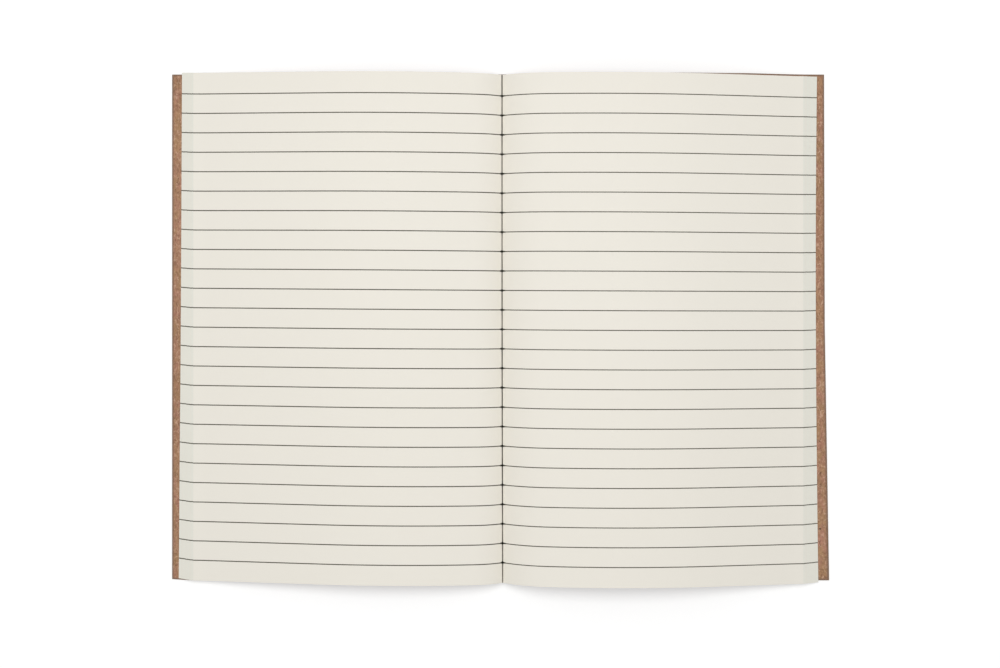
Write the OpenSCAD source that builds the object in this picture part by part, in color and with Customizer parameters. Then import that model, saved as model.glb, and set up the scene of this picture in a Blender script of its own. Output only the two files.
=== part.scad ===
// Soft-cover ruled notebook, lying open and face up on a table near the middle of its leaves.
// X runs across the spread from the front cover to the back cover, Y along the fold from the
// tail of the leaves to their head, and Z up from the table. The origin is on the table, in
// the middle of the notebook's footprint. Lengths are in millimetres and angles in degrees.

/* [Leaves] */
// Height of the leaves, from tail to head
leaf_h = 209.4; // [140:0.1:300]
// Width of the uppermost leaf along the paper, if the sheets were folded in their middle
leaf_w = 129.8; // [110:0.1:190]
// How far the fold misses the middle of the sheets, which makes the front half the wider one
fold_offset = 0.5; // [0:0.1:3]
// Number of folded sheets, each of which gives one leaf on either side of the fold
sheets = 24; // [12:1:36]
// Thickness of the paper
paper_t = 0.1; // [0.08:0.01:0.12]
// Air between two leaves that lie on each other
air_t = 0.025; // [0.01:0.005:0.04]
// How far each leaf stands out beyond the leaf above it
leaf_step = 0.21; // [0.1:0.01:0.3]
// How far the fore-edge of the front half is skewed towards the head
front_skew = 0.9; // [0:0.1:2]
// How far the fore-edge of the back half is skewed towards the tail
back_skew = 0.5; // [0:0.1:2]

/* [Arch of the open leaves] */
// Distance from the fold to the top of the arch, in leaf widths
peak_share = 0.352; // [0.3:0.001:0.42]
// Height of the hollow under the front cover at the top of the arch, in leaf widths
front_lift_share = 0.0735; // [0.06:0.0005:0.1]
// Height of the hollow under the back cover, whose leaves stand higher
back_lift_share = 0.0915; // [0.06:0.0005:0.1]
// Radius of the uppermost leaf over the arch, in leaf widths
belly_share = 1.51; // [1.35:0.01:1.7]
// Slope at which the uppermost leaf leaves the crease of the gutter
gutter_slope = 45; // [38:1:55]
// Slope at which the cover leaves its fold
cover_slope = 30; // [20:1:35]
// Radius of the hollow curve that lays the uppermost leaf's fore-edge flat, in leaf widths
toe_share = 0.387; // [0.25:0.001:0.5]
// How far short of the leaf's own width the cover comes down flat on the table
landing_in = 1.6; // [0:0.1:6]

/* [Gutter crease] */
// Width of the crease at its mouth
crease_w = 0.6; // [0.4:0.1:1]
// Depth of the crease
crease_depth = 1; // [0.5:0.1:1.5]

/* [Cover] */
// Thickness of the cover card
cover_t = 0.4; // [0.3:0.05:0.6]
// Room between the lowest leaf and the cover
cover_gap = 0.1; // [0.05:0.05:0.2]
// Outer radius of the card where it is folded round the sheets
fold_r = 5; // [4:0.5:7]
// How much shorter than the leaves the cover is at each end
cover_short = 0.1; // [0:0.1:1]
// How far the cover has slipped towards the head of the leaves
cover_slip = 0.5; // [0:0.1:1]
// How far the front cover stands out beyond the lowest leaf
front_margin = 4.5; // [1:0.1:8]
// How far the back cover stands out beyond the lowest leaf at the head
back_margin = 3.5; // [1:0.1:8]
// How much further it stands out at the tail, where it is cut out of square
back_flare = 2.1; // [0:0.1:4]
// How much further it stands out halfway along, because its edge isn't quite straight
back_bow = 0.3; // [0:0.1:2]

/* [Printed ruling] */
// Distance from one printed line to the next
line_pitch = 8; // [6:0.5:10]
// Least bare paper above the first line and below the last one
bare_margin = 8.5; // [6:0.5:20]
// Width of a printed line
line_w = 0.35; // [0.2:0.05:0.6]
// Thickness of the ink
ink_t = 0.05; // [0.03:0.01:0.1]

/* [Staples] */
// Thickness and width of the staple wire
wire = 0.5; // [0.4:0.05:0.6]
// Length of a staple's crown, outside the fold
crown_len = 12; // [10:0.5:14]
// Length of each leg end that is bent over inside the fold
clinch_len = 4.5; // [3:0.5:4.5]
// Distance of each staple from the middle of the fold
staple_y = 52; // [30:1:60]
// How deep the crown bites into the cover card
bite = 0.2; // [0.1:0.05:0.25]
// Thickness of the leaf that hides the bent leg ends
hiding_leaf = 0.15; // [0.1:0.05:0.3]
// Room around the wire in the paper and in the card
wire_room = 0.02; // [0.01:0.01:0.04]

/* [Hidden] */

// Largest distance between a round curve and the flats that stand for it
curve_error = 0.02;
// Extra length that a section is drawn with before it is trimmed to its plan
trim = 5;

// The two halves of the spread, as places in the lists that hold a value for each
FRONT = 0;
BACK = 1;
HALVES = [FRONT, BACK];

// Depths are measured down through the leaves from the uppermost one's face
leaf_pitch = paper_t + air_t;
stack_t = sheets * leaf_pitch;
card_face = stack_t + cover_gap;
card_back = card_face + cover_t;

// The arch: a belly, a straight fall tangent to it, and a hollow toe that ends flat
arch_lift = [front_lift_share * leaf_w, back_lift_share * leaf_w];
belly_r = belly_share * leaf_w;
toe_r = toe_share * leaf_w;
landing_x = leaf_w - landing_in;
belly_c = [for (lift = arch_lift) [peak_share * leaf_w, lift + card_back - belly_r]];
toe_c = [landing_x, card_back + toe_r];
fall = [for (c = belly_c)
    atan2(toe_c.x - c.x, toe_c.y - c.y) - acos((belly_r + toe_r) / norm(toe_c - c))];

// The card's fold is raised by as much of the staple's crown as stands out of it
fold_c = [0, wire - bite + fold_r];
crease_z = fold_c.y - fold_r + cover_t + cover_gap + sheets * paper_t;
crease_mouth = [crease_w / 2, crease_z + crease_depth];

// The uppermost leaf rises from the crease on an arc that runs into the belly
rise_r = [for (c = belly_c) tangent_r(c, crease_mouth, gutter_slope, belly_r)];
rise_c = [for (r = rise_r) crease_mouth + r * inward(gutter_slope)];
rise_end = [for (half = HALVES) slope_from(belly_c[half], rise_c[half])];

// The cover rises from its fold on a wider arc that runs into the belly too
card_start = fold_c + fold_r * inward(cover_slope);
card_rise_r = [for (c = belly_c) tangent_r(c, card_start, cover_slope, belly_r - card_back)];
card_rise_c = [for (r = card_rise_r) card_start + r * inward(cover_slope)];
card_rise_end = [for (half = HALVES) slope_from(belly_c[half], card_rise_c[half])];

// Where the uppermost leaf ends on each half, and the lowest leaf and the cover, from the fold
leaf_end = [for (half = HALVES) last(top_run(half)).x];
fan_out = (sheets - 1) * leaf_step;
front_w = leaf_end[FRONT] + fan_out + front_margin;
back_w = leaf_end[BACK] + fan_out + back_margin;
cover_h = leaf_h - 2 * cover_short;

// Where the fold, the leaves and the cover lie, so that the footprint is centred on the origin
fold_x = (front_w - back_w - back_flare) / 2;
block_y = (back_skew - front_skew) / 2;
cover_y = cover_slip;

lines = floor((leaf_h - 2 * bare_margin) / line_pitch) + 1;
top_z = max(arch_lift) + card_back;

function last(list) = list[len(list) - 1];
function reversed(list) = [for (i = [len(list) - 1:-1:0]) list[i]];
function mirrored(points) = [for (p = reversed(points)) [-p.x, p.y]];
function raised(points, by) = [for (p = points) p + [0, by]];
function after_first(list) = [for (i = [1:len(list) - 1]) list[i]];
function between_ends(list) = [for (i = [1:len(list) - 2]) list[i]];

// The direction from a curve's point to its centre, where the curve arches up
function inward(slope) = [sin(slope), -cos(slope)];

// The slope that a curve round both centres has where one arc runs into the other
function slope_from(outer, inner) = atan2(outer.x - inner.x, inner.y - outer.y);

// Radius of the arc that leaves a point at a slope and runs into a wider circle from inside
function tangent_r(around_c, from, slope, around_r) =
    let (d = from - around_c)
    (around_r * around_r - d * d) / (2 * (d * inward(slope) + around_r));

// Number of flats for a sweep, from the radius and the error allowed
function flats(r, sweep) = max(2, ceil(abs(sweep) / (2 * acos(1 - curve_error / r))));

// Points of an arc that arches up, and of one that hangs hollow, between two slopes
function arched(c, r, from, to, n) =
    [for (i = [0:n]) c - r * inward(from + (to - from) * i / n)];
function hollow(c, r, from, to, n) =
    [for (i = [0:n]) c + r * inward(from + (to - from) * i / n)];

// The belly, the fall and the toe at a depth, which every leaf and the cover share
function outer_run(half, depth, from) = concat(
    arched(belly_c[half], belly_r - depth, from, -fall[half], flats(belly_r, from + fall[half])),
    hollow(toe_c, toe_r + depth, -fall[half], 0, flats(toe_r, fall[half])));

// A path cut off at a length, counted from its first point
function cut_path(p, length, i = 1) =
    let (step = norm(p[i] - p[i - 1]))
    i == len(p) - 1 || length <= step
        ? [p[i - 1], p[i - 1] + (p[i] - p[i - 1]) * length / step]
        : concat([p[i - 1]], cut_path(p, length - step, i + 1));

// The uppermost leaf's face, from the bottom of the crease to its fore-edge
function top_run(half) = cut_path(
    concat([[0, crease_z]],
           arched(rise_c[half], rise_r[half], gutter_slope, rise_end[half],
                  flats(rise_r[half], gutter_slope - rise_end[half])),
           after_first(outer_run(half, 0, rise_end[half])),
           [[2 * leaf_w, toe_c.y - toe_r]]),
    half == FRONT ? leaf_w + fold_offset : leaf_w - fold_offset);

// A face under the leaves at a depth, from the end of the card's fold to where it lands
function under_run(half, depth) = concat(
    arched(card_rise_c[half], card_rise_r[half] + card_back - depth, cover_slope, card_rise_end[half],
           flats(card_rise_r[half], cover_slope - card_rise_end[half])),
    after_first(outer_run(half, depth, card_rise_end[half])));

// The same face round the card's fold, from one end of the fold to the other
function fold_run(depth) = hollow(fold_c, fold_r - card_back + depth, -cover_slope, cover_slope,
                                  2 * flats(fold_r, cover_slope));

// Height of the face at a depth near the fore-edge
function outer_z(half, x, depth) =
    let (r = toe_r + depth, start = landing_x - r * sin(fall[half]), out = x - landing_x)
    x >= landing_x ? toe_c.y - r
    : x >= start ? toe_c.y - sqrt(r * r - out * out)
    : toe_c.y - r * cos(fall[half]) + (start - x) * tan(fall[half]);

// The leaf edges as a stair, each leaf standing out under the one above
function stair(half) = [
    for (k = [1:sheets])
        let (x = leaf_end[half] + (k - 1) * leaf_step, depth = k * leaf_pitch)
        for (edge = k == sheets ? [x] : [x, x + leaf_step])
            [edge, outer_z(half, edge, depth)]];

// The points of a path that lie between two distances from the fold
function within(path, from, to) = [for (p = path) if (p.x > from && p.x < to) p];

// One half of the block's section, from the crease's bottom round to the fold's underside
function half_block(half) =
    let (edges = stair(half), under = concat(fold_run(stack_t), after_first(under_run(half, stack_t))))
    concat(top_run(half), edges,
           reversed(within(under, -curve_error, last(edges).x - curve_error)));

function block_outline() = concat(half_block(BACK), between_ends(mirrored(half_block(FRONT))));

// The card's section on one side, from the end of its fold to its fore-edge
function card_outline(half, width) = concat(
    under_run(half, card_back), [[width, 0], [width, cover_t]], reversed(under_run(half, card_face)));

// The printed ink's section on one side, from the crease's mouth to the leaf's fore-edge
function ink_outline(half) =
    let (face = [for (p = top_run(half)) if (p.x > 0) p])
    concat(face, reversed(raised(face, ink_t)));

// A section drawn across the fold is run along it
module along_fold(outline, length) {
    rotate([90, 0, 0])
        linear_extrude(height = length, center = true)
            polygon(outline);
}

// What a plan outline holds of the children
module trimmed_to(outline) {
    intersection() {
        children();
        translate([0, 0, -1])
            linear_extrude(height = top_z + 2)
                polygon(outline);
    }
}

// The fold's line is the middle of every section
module on_fold() {
    translate([fold_x, 0, 0])
        children();
}

// Plan of a strip that runs out from the fold and is skewed along it by the fore-edge
module skewed_strip(out, y, width, skew) {
    polygon([[0, y - width / 2], [out, y - width / 2 + skew],
             [out, y + width / 2 + skew], [0, y + width / 2]]);
}

// One staple seen from the fore-edge: its crown, its legs and their bent ends
module staple_outline(room) {
    half = crown_len / 2 - wire / 2;
    clinch_z = crease_z - hiding_leaf - wire / 2;
    thick = wire + 2 * room;
    bends = [[half - clinch_len, clinch_z], [half, clinch_z], [half, wire / 2], [0, wire / 2]];
    for (side = [-1, 1])
        for (i = [0:len(bends) - 1]) {
            at = bends[i];
            to = bends[max(i - 1, 0)];
            translate([side * at.x, at.y])
                circle(d = thick, $fn = 12);
            translate([side * (at.x + to.x) / 2, (at.y + to.y) / 2])
                square([abs(to.x - at.x) + (to.x == at.x ? thick : 0),
                        abs(to.y - at.y) + (to.y == at.y ? thick : 0)], center = true);
        }
}

module staple(y, room = 0) {
    translate([0, y, 0])
        rotate([90, 0, 90])
            linear_extrude(height = wire + 2 * room, center = true)
                staple_outline(room);
}

// All the sheets with their folds, held as one block
module page_block() {
    front = leaf_end[FRONT] + fan_out;
    back = leaf_end[BACK] + fan_out;
    head = leaf_h / 2 + block_y;
    tail = block_y - leaf_h / 2;
    color([0.91, 0.89, 0.85])
        on_fold()
            difference() {
                trimmed_to([[-front, tail + front_skew], [0, tail], [back, tail - back_skew],
                            [back, head - back_skew], [0, head], [-front, head + front_skew]])
                    along_fold(block_outline(), leaf_h + 2 * trim);
                for (y = [-staple_y, staple_y])
                    staple(y, wire_room);
            }
}

// The printed lines of one page, as ink that lies on the uppermost leaf
module page_ruling(half) {
    side = half == FRONT ? -1 : 1;
    leaf = half == FRONT ? mirrored(ink_outline(half)) : ink_outline(half);
    skew = half == FRONT ? front_skew : -back_skew;
    color([0.36, 0.36, 0.33])
        on_fold()
            intersection() {
                along_fold(leaf, leaf_h + 2 * trim);
                translate([0, block_y, 0])
                    linear_extrude(height = top_z + 2)
                        for (i = [0:lines - 1])
                            skewed_strip(side * leaf_end[half], (i - (lines - 1) / 2) * line_pitch,
                                         line_w, skew);
            }
}

module front_page_ruling() {
    page_ruling(FRONT);
}

module back_page_ruling() {
    page_ruling(BACK);
}

// The card where it is folded round the sheets, with the staples let into it
module cover_spine() {
    color([0.67, 0.51, 0.41])
        on_fold()
            difference() {
                translate([0, cover_y, 0])
                    along_fold(concat(fold_run(card_back), reversed(fold_run(card_face))), cover_h);
                for (y = [-staple_y, staple_y])
                    staple(y, wire_room);
            }
}

module front_cover() {
    color([0.67, 0.51, 0.41])
        on_fold()
            translate([0, cover_y, 0])
                along_fold(mirrored(card_outline(FRONT, front_w)), cover_h);
}

module back_cover() {
    out = back_w + back_flare;
    color([0.67, 0.51, 0.41])
        on_fold()
            translate([0, cover_y, 0])
                trimmed_to([[0, -cover_h / 2], [out, -cover_h / 2], [back_w + back_bow, 0],
                            [back_w, cover_h / 2], [0, cover_h / 2]])
                    along_fold(card_outline(BACK, out), cover_h);
}

module head_staple() {
    color([0.75, 0.75, 0.77])
        on_fold()
            staple(staple_y);
}

module tail_staple() {
    color([0.75, 0.75, 0.77])
        on_fold()
            staple(-staple_y);
}

page_block();
front_page_ruling();
back_page_ruling();
cover_spine();
front_cover();
back_cover();
head_staple();
tail_staple();
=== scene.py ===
"""Dresses an open ruled notebook: bound leaves, printed lines, card cover and staples, in a plain studio.

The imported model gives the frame. Sizes are in millimetres in the classes and in metres in the meshes.
"""

import logging
import math
from dataclasses import dataclass
from enum import Enum

import bmesh
import bpy
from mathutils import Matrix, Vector

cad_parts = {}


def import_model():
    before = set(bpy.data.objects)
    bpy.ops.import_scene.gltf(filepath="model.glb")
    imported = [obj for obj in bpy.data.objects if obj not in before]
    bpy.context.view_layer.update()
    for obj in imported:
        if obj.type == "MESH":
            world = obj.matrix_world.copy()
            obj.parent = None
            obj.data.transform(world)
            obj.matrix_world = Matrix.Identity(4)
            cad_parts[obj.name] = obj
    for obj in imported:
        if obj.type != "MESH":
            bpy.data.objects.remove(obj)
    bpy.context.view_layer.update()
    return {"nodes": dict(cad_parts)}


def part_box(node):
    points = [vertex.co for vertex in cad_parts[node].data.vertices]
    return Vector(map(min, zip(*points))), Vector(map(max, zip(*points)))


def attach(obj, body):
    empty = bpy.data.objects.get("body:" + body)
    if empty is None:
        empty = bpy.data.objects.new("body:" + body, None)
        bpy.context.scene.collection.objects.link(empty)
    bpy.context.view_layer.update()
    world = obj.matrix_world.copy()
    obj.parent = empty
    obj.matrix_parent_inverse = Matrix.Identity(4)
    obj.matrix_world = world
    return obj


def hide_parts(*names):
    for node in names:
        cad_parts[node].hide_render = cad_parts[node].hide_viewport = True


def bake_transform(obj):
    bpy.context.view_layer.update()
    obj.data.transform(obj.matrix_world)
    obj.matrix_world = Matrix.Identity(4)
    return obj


log = logging.getLogger("notebook")

MM = 0.001
Range = tuple[float, float]
Point = tuple[float, float]
Pair = tuple[Point, Point]
Triple = tuple[float, float, float]
Shade = Triple
Socket = bpy.types.NodeSocket
Tree = bpy.types.NodeTree
Material = bpy.types.Material
Wire = Socket | float | int | str | tuple[float, ...] | None


class Side(Enum):
    """The half of the spread that a piece belongs to, as the direction in which it runs from the fold."""

    FRONT = -1.0
    BACK = 1.0


class Grain(Enum):
    """Where a finish takes the place of its grain from."""

    OBJECT = "Object"
    FLAT = "UV"


@dataclass
class Graph:
    """Adds nodes to a geometry or shader tree and joins them up. A group's graph knows its two ends."""

    tree: Tree
    start: bpy.types.Node | None = None
    end: bpy.types.Node | None = None

    def feed(self, socket: Socket, value: Wire) -> None:
        """Joins a wire to an input, or sets its own value.

        Args:
            socket: the input.
            value: a node's output, a plain value, or None to leave the input as it is.
        """
        if value is None:
            return
        if isinstance(value, Socket):
            self.tree.links.new(value, socket)
        else:
            socket.default_value = value

    def node(self, kind: str, *wires: Wire, **settings: object) -> bpy.types.Node:
        """Adds a node, and feeds the inputs that it shows, in their order.

        Args:
            kind: Blender's name for the node.
            *wires: what each input gets.
            **settings: the node's own settings.

        Returns:
            The node.
        """
        made = self.tree.nodes.new(kind)
        for name, value in settings.items():
            setattr(made, name, value)
        shown = [socket for socket in made.inputs if socket.enabled]
        for socket, wire in zip(shown, wires):
            self.feed(socket, wire)
        return made

    def get(self, kind: str, *wires: Wire, **settings: object) -> Socket:
        """Adds a node as node() does, and returns the first output that it shows."""
        made = self.node(kind, *wires, **settings)
        return next(socket for socket in made.outputs if socket.enabled)

    def math(self, operation: str, *wires: Wire) -> Socket:
        """Returns the result of a Math node."""
        return self.get("ShaderNodeMath", *wires, operation=operation)

    def vector(self, operation: str, *wires: Wire) -> Socket:
        """Returns the result of a Vector Math node."""
        return self.get("ShaderNodeVectorMath", *wires, operation=operation)

    def ramp(self, value: Wire, near: Wire, far: Wire, first: Wire, last: Wire) -> Socket:
        """Returns a value that goes from first to last while the given one goes from near to far."""
        return self.get("ShaderNodeMapRange", value, near, far, first, last)

    def keep(self, shape: Wire, name: str, value: Wire) -> Socket:
        """Returns a shape whose points keep a value as a named attribute."""
        return self.get("GeometryNodeStoreNamedAttribute", shape, None, name, value, data_type="FLOAT")

    def kept(self, name: str) -> Socket:
        """Returns the value that a shape's points keep by a name."""
        return self.get("GeometryNodeInputNamedAttribute", name, data_type="FLOAT")

    def join(self, x: Wire, y: Wire, z: Wire) -> Socket:
        """Returns a vector made of three values."""
        return self.get("ShaderNodeCombineXYZ", x, y, z)

    def split(self, vector: Wire) -> tuple[Socket, ...]:
        """Returns a vector's three values."""
        return tuple(self.node("ShaderNodeSeparateXYZ", vector).outputs)


def new_group(name: str, kind: str, inputs: dict[str, str], outputs: dict[str, str]) -> Graph:
    """Makes a node group with named sockets.

    Args:
        name: the group's name.
        kind: GeometryNodeTree or ShaderNodeTree.
        inputs: each input's name and the short name of its type, such as Float.
        outputs: the same for each output.

    Returns:
        The group's graph, with its Group Input and Group Output nodes as start and end.
    """
    tree = bpy.data.node_groups.new(name, kind)
    for sockets, way in ((inputs, "INPUT"), (outputs, "OUTPUT")):
        for title, form in sockets.items():
            tree.interface.new_socket(title, in_out=way, socket_type="NodeSocket" + form)
    return Graph(tree, tree.nodes.new("NodeGroupInput"), tree.nodes.new("NodeGroupOutput"))


def inward(slope: float) -> Point:
    """Returns the direction from an arch to its centre, at the point where it has a slope in degrees."""
    turn = math.radians(slope)
    return math.sin(turn), -math.cos(turn)


def arc(
    centre: Point, radius: float, start: float, end: float, steps: int, hollow: bool = False
) -> list[Point]:
    """Gives the points of an arc between two slopes.

    Args:
        centre: the arc's centre.
        radius: its radius.
        start: the slope in degrees at its first point.
        end: the slope at its last point.
        steps: how many flats it has.
        hollow: True for an arc that hangs under its centre, False for one that arches over it.

    Returns:
        The arc's points.
    """
    way = radius if hollow else -radius
    points = []
    for step in range(steps + 1):
        across, up = inward(start + (end - start) * step / steps)
        points.append((centre[0] + way * across, centre[1] + way * up))
    return points


def line(start: Point, end: Point, steps: int) -> list[Point]:
    """Returns the points that cut a straight run into equal steps, without its first point."""
    return [tuple(a + (b - a) * step / steps for a, b in zip(start, end)) for step in range(1, steps + 1)]


def distances(path: list[Point]) -> list[float]:
    """Measures how far along a path its points lie.

    Args:
        path: the path's points.

    Returns:
        Each point's distance from the first, along the path.
    """
    along = [0.0]
    for before, after in zip(path, path[1:]):
        along.append(along[-1] + math.dist(before, after))
    return along


def at_shares(path: list[Point], shares: list[float]) -> list[Point]:
    """Gives the points of a path at shares of its length.

    Args:
        path: the path's points.
        shares: rising shares from 0 to 1.

    Returns:
        One point for each share.
    """
    along = distances(path)
    points, i = [], 0
    for share in shares:
        want = share * along[-1]
        while i < len(path) - 2 and along[i + 1] < want:
            i += 1
        part = min(1.0, (want - along[i]) / (along[i + 1] - along[i]))
        points.append(tuple(a + (b - a) * part for a, b in zip(path[i], path[i + 1])))
    return points


@dataclass(frozen=True)
class Spread:
    """The section that the leaves and the cover share, in millimetres from the fold and from the table.

    The shares are of the leaf's width. Depths are counted down from the uppermost leaf's face.
    """

    lift_share: float
    leaf_width: float = 129.8
    leaf_height: float = 209.4
    sheets: int = 24
    paper: float = 0.1
    pitch: float = 0.125
    step_out: float = 0.21
    cover_gap: float = 0.1
    card: float = 0.4
    fold_radius: float = 5.0
    fold_lift: float = 0.3
    crease_half: float = 0.3
    crease_depth: float = 1.0
    gutter_slope: float = 45.0
    cover_slope: float = 30.0
    peak_share: float = 0.352
    belly_share: float = 1.51
    toe_share: float = 0.387
    landing_in: float = 1.6
    strip_cut: float = 0.4
    fold_steps: int = 8
    crease_steps: int = 3
    rise_steps: int = 12
    join_steps: int = 4
    belly_steps: int = 14
    fall_steps: int = 6
    toe_steps: int = 6
    spare_steps: int = 12

    @property
    def stack(self) -> float:
        """Depth of all the leaves, from the uppermost one's face."""
        return self.sheets * self.pitch

    @property
    def card_face(self) -> float:
        """Depth of the card's inner face."""
        return self.stack + self.cover_gap

    @property
    def card_back(self) -> float:
        """Depth of the card's outer face."""
        return self.card_face + self.card

    @property
    def belly_radius(self) -> float:
        """Radius of the uppermost leaf over the arch."""
        return self.belly_share * self.leaf_width

    @property
    def belly(self) -> Point:
        """Centre of the arch."""
        lift = self.lift_share * self.leaf_width
        return self.peak_share * self.leaf_width, lift + self.card_back - self.belly_radius

    @property
    def toe_radius(self) -> float:
        """Radius of the hollow curve by the uppermost leaf's fore-edge."""
        return self.toe_share * self.leaf_width

    @property
    def toe(self) -> Point:
        """Centre of that curve."""
        return self.leaf_width - self.landing_in, self.card_back + self.toe_radius

    @property
    def fall(self) -> float:
        """Slope of the straight run between the arch and the toe.

        Returns:
            The slope in degrees. Both circles have that run as a tangent, from opposite sides.
        """
        across, up = (a - b for a, b in zip(self.toe, self.belly))
        both = self.belly_radius + self.toe_radius
        return math.degrees(math.atan2(across, up) - math.acos(both / math.hypot(across, up)))

    @property
    def crease(self) -> float:
        """Height of the crease's bottom."""
        return self.fold_lift + self.card + self.cover_gap + self.sheets * self.paper

    @property
    def fold_centre(self) -> Point:
        """Centre of the card's fold."""
        return 0.0, self.fold_lift + self.fold_radius

    def rise(self, start: Point, slope: float, radius: float) -> tuple[Point, float, float]:
        """Finds the arc that leaves a point at a slope and runs into the arch from inside.

        Args:
            start: the point.
            slope: the slope there, in degrees.
            radius: the arch's radius.

        Returns:
            The arc's centre and radius, and the slope where it meets the arch.
        """
        away = [a - b for a, b in zip(start, self.belly)]
        across, up = inward(slope)
        reach = 2 * (away[0] * across + away[1] * up + radius)
        size = (radius * radius - away[0] ** 2 - away[1] ** 2) / reach
        centre = start[0] + size * across, start[1] + size * up
        meet = math.degrees(math.atan2(self.belly[0] - centre[0], centre[1] - self.belly[1]))
        return centre, size, meet

    def card_rise(self) -> tuple[Point, float, float]:
        """Finds the arc on which the card leaves its fold.

        Returns:
            The centre and radius of its outer face, and its last slope in degrees.
        """
        across, up = inward(self.cover_slope)
        start = self.fold_radius * across, self.fold_centre[1] + self.fold_radius * up
        return self.rise(start, self.cover_slope, self.belly_radius - self.card_back)

    def outer(self, depth: float, edge: float) -> list[Point]:
        """Gives a face beyond the gutter: the rest of the arch, the fall and the toe.

        Args:
            depth: how deep under the uppermost leaf's face it lies.
            edge: where it ends, in millimetres from the fold.

        Returns:
            The face's points, without the first.
        """
        meet = self.card_rise()[2]
        over = arc(self.belly, self.belly_radius - depth, meet, -self.fall, self.belly_steps)
        hang = self.toe_radius + depth
        end = math.degrees(math.asin(min(0.0, edge - self.toe[0]) / hang))
        toe = arc(self.toe, hang, -self.fall, end, self.toe_steps, hollow=True)
        return over[1:] + line(over[-1], toe[0], self.fall_steps) + toe[1:]

    def height(self, across: float, depth: float) -> float:
        """Finds how high a face lies in the toe or beyond it.

        Args:
            across: the distance from the fold.
            depth: how deep under the uppermost leaf's face it lies.

        Returns:
            The height over the table.
        """
        hang = self.toe_radius + depth
        out = min(0.0, across - self.toe[0])
        return self.toe[1] - math.sqrt(hang * hang - out * out)

    def leaf_run(self, edge: float) -> tuple[list[Pair], int]:
        """Gives the run of the leaves: the uppermost one's face, and the underside of the lowest.

        Args:
            edge: the uppermost leaf's fore-edge, in millimetres from the fold.

        Returns:
            The pairs of points, which go on in steps of one leaf beyond the edge, and the number of
            the edge's pair.
        """
        mouth = self.crease_half, self.crease + self.crease_depth
        centre, radius, meet = self.rise(mouth, self.gutter_slope, self.belly_radius)
        _, _, card_meet = self.card_rise()
        upper = [(0.0, self.crease)] + line((0.0, self.crease), mouth, self.crease_steps)
        upper += arc(centre, radius, self.gutter_slope, meet, self.rise_steps)[1:]
        upper += arc(self.belly, self.belly_radius, meet, card_meet, self.join_steps)[1:]
        lower = self.card_gutter(self.stack, folded=True)
        along = distances(upper)
        shares = [place / along[-1] for place in along]
        pairs = list(zip(upper, at_shares(lower, shares)))
        pairs += list(zip(self.outer(0.0, edge), self.outer(self.stack, edge)))
        last = len(pairs) - 1
        for leaf in range(1, self.sheets + self.spare_steps):
            across = edge + leaf * self.step_out
            pairs.append(((across, self.height(across, 0.0)), (across, self.height(across, self.stack))))
        return pairs, last

    def card_gutter(self, depth: float, folded: bool) -> list[Point]:
        """Gives a face of the card, or one that follows it, from the fold up to the arch.

        Args:
            depth: how deep under the uppermost leaf's face it lies.
            folded: True to begin in the middle of the fold, False to begin at its end.

        Returns:
            The face's points.
        """
        round_fold = self.fold_radius - self.card_back + depth
        turn = arc(self.fold_centre, round_fold, 0.0, self.cover_slope, self.fold_steps, hollow=True)
        centre, radius, meet = self.card_rise()
        climb = arc(centre, radius + self.card_back - depth, self.cover_slope, meet, self.rise_steps)
        return turn[:-1] + climb if folded else climb

    def card_run(self, width: float, insets: list[float]) -> list[Pair]:
        """Gives the card's two faces, from the end of its fold to its fore-edge.

        Args:
            width: the fore-edge's distance from the fold.
            insets: distances from the fore-edge at which the flat strip beyond the arch is cut.

        Returns:
            The pairs of points on the inner and the outer face.
        """
        faces = self.card_face, self.card_back
        landing = self.toe[0]
        pairs = list(zip(*(self.card_gutter(depth, folded=False) for depth in faces)))
        pairs += list(zip(*(self.outer(depth, landing) for depth in faces)))
        stops = [landing + (width - landing) * self.strip_cut] + [width - inset for inset in insets]
        return pairs + [((across, self.card), (across, 0.0)) for across in stops]


def add_object(name: str, data: bpy.types.ID) -> bpy.types.Object:
    """Adds an object to the scene.

    Args:
        name: its name.
        data: its mesh, lamp or camera.

    Returns:
        The object.
    """
    made = bpy.data.objects.new(name, data)
    bpy.context.scene.collection.objects.link(made)
    return made


def run_object(name: str, pairs: list[Pair]) -> bpy.types.Object:
    """Makes the helper that a geometry tree reads a run from.

    Args:
        name: the helper's name.
        pairs: the run's points on its upper and its lower face, in millimetres.

    Returns:
        An object with a vertex for each upper point, which keeps the lower one in an attribute.
    """
    mesh = bpy.data.meshes.new(name)
    mesh.from_pydata([(x * MM, 0.0, z * MM) for (x, z), _ in pairs], [], [])
    under = mesh.attributes.new("under", "FLOAT_VECTOR", "POINT")
    under.data.foreach_set("vector", [size for _, (x, z) in pairs for size in (x * MM, 0.0, z * MM)])
    return add_object(name, mesh)


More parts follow.
